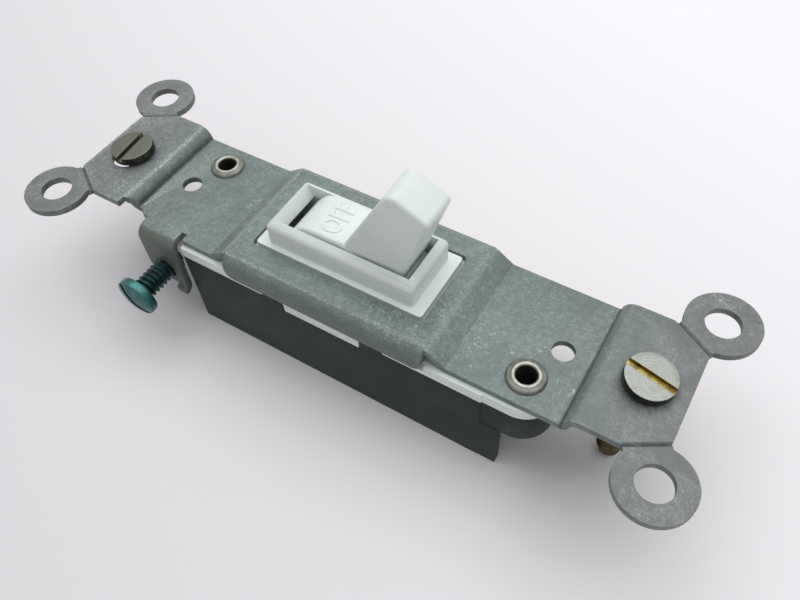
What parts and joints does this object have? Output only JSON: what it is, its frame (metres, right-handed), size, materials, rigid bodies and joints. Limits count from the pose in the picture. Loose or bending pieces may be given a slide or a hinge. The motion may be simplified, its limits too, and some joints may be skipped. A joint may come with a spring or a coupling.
{
  "type": "toggle wall switch",
  "caption": "Single-pole toggle wall switch on a galvanised mounting strap with plaster ears, box screws, a grounding screw, a plastic body and a lever that tips a contact rocker.",
  "frame": {"origin": "midway between the two cover-plate screw holes, on the strap's front face", "axes": "+X along the strap towards the side the lever leans to at rest, +Y across the strap towards the terminal screws, +Z out of the wall"},
  "size_m": [0.1006, 0.0349, 0.0351],
  "materials": {
    "galvanised_steel": "dull galvanised",
    "white_plastic": "satin",
    "toggle_plastic": "satin",
    "dark_plastic": "matte moulded",
    "green_screw": "dyed green",
    "box_screw": "yellow passivated, worn",
    "brass": "bright",
    "contact_silver": "satin",
    "spring_steel": "bright",
    "rivet_tin": "plated",
    "fibre": "pressed fibre"
  },
  "bodies": {
    "housing": {"strap": "galvanised_steel", "cover": "white_plastic", "base": "dark_plastic", "rivet_left": "rivet_tin", "rivet_right": "rivet_tin", "line_terminal": "brass", "load_terminal": "brass", "fixed_contact": "contact_silver", "wire_clip_line": "spring_steel", "wire_clip_load": "spring_steel"},
    "toggle": {"toggle": "toggle_plastic", "toggle_spring": "spring_steel"},
    "rocker": {"contact_rocker": "brass", "moving_contact": "contact_silver"},
    "ground_screw": {"ground_screw": "green_screw"},
    "terminal_screw_line": {"terminal_screw_line": "brass"},
    "terminal_screw_load": {"terminal_screw_load": "brass"},
    "mounting_screw_left": {"mounting_screw_left": "box_screw", "screw_retainer_left": "fibre"},
    "mounting_screw_right": {"mounting_screw_right": "box_screw", "screw_retainer_right": "fibre"}
  },
  "joints": [
    {"name": "toggle_throw", "type": "hinge", "parent": "housing", "child": "toggle", "pos_m": [0, 0, -0.0049], "axis": [0, -1, 0], "range_deg": [0, 49], "deforming": ["toggle_spring"]},
    {"name": "rocker_tip", "type": "hinge", "parent": "housing", "child": "rocker", "pos_m": [0, 0, -0.01143], "axis": [0, -1, 0], "range_deg": [-12.1, 0]},
    {"name": "ground_screw_drive", "type": "slide", "parent": "housing", "child": "ground_screw", "axis": [0, 1, 0], "range_m": [0, 0.0045]},
    {"name": "terminal_screw_line_drive", "type": "slide", "parent": "housing", "child": "terminal_screw_line", "axis": [0, -1, 0], "range_m": [0, 0.0008]},
    {"name": "terminal_screw_load_drive", "type": "slide", "parent": "housing", "child": "terminal_screw_load", "axis": [0, -1, 0], "range_m": [0, 0.0008]},
    {"name": "mounting_screw_left_turn", "type": "hinge", "parent": "housing", "child": "mounting_screw_left", "pos_m": [-0.0406, -0.00045, 0.0016], "axis": [-0.0436, 0, 0.999], "continuous": true},
    {"name": "mounting_screw_right_turn", "type": "hinge", "parent": "housing", "child": "mounting_screw_right", "pos_m": [0.04061, -0.00051, 0.0016], "axis": [0.0854, -0.0209, 0.9961], "continuous": true}
  ],
  "couplings": [
    {"joint": "rocker_tip", "follows": "toggle_throw", "ratio": -0.245}
  ]
}
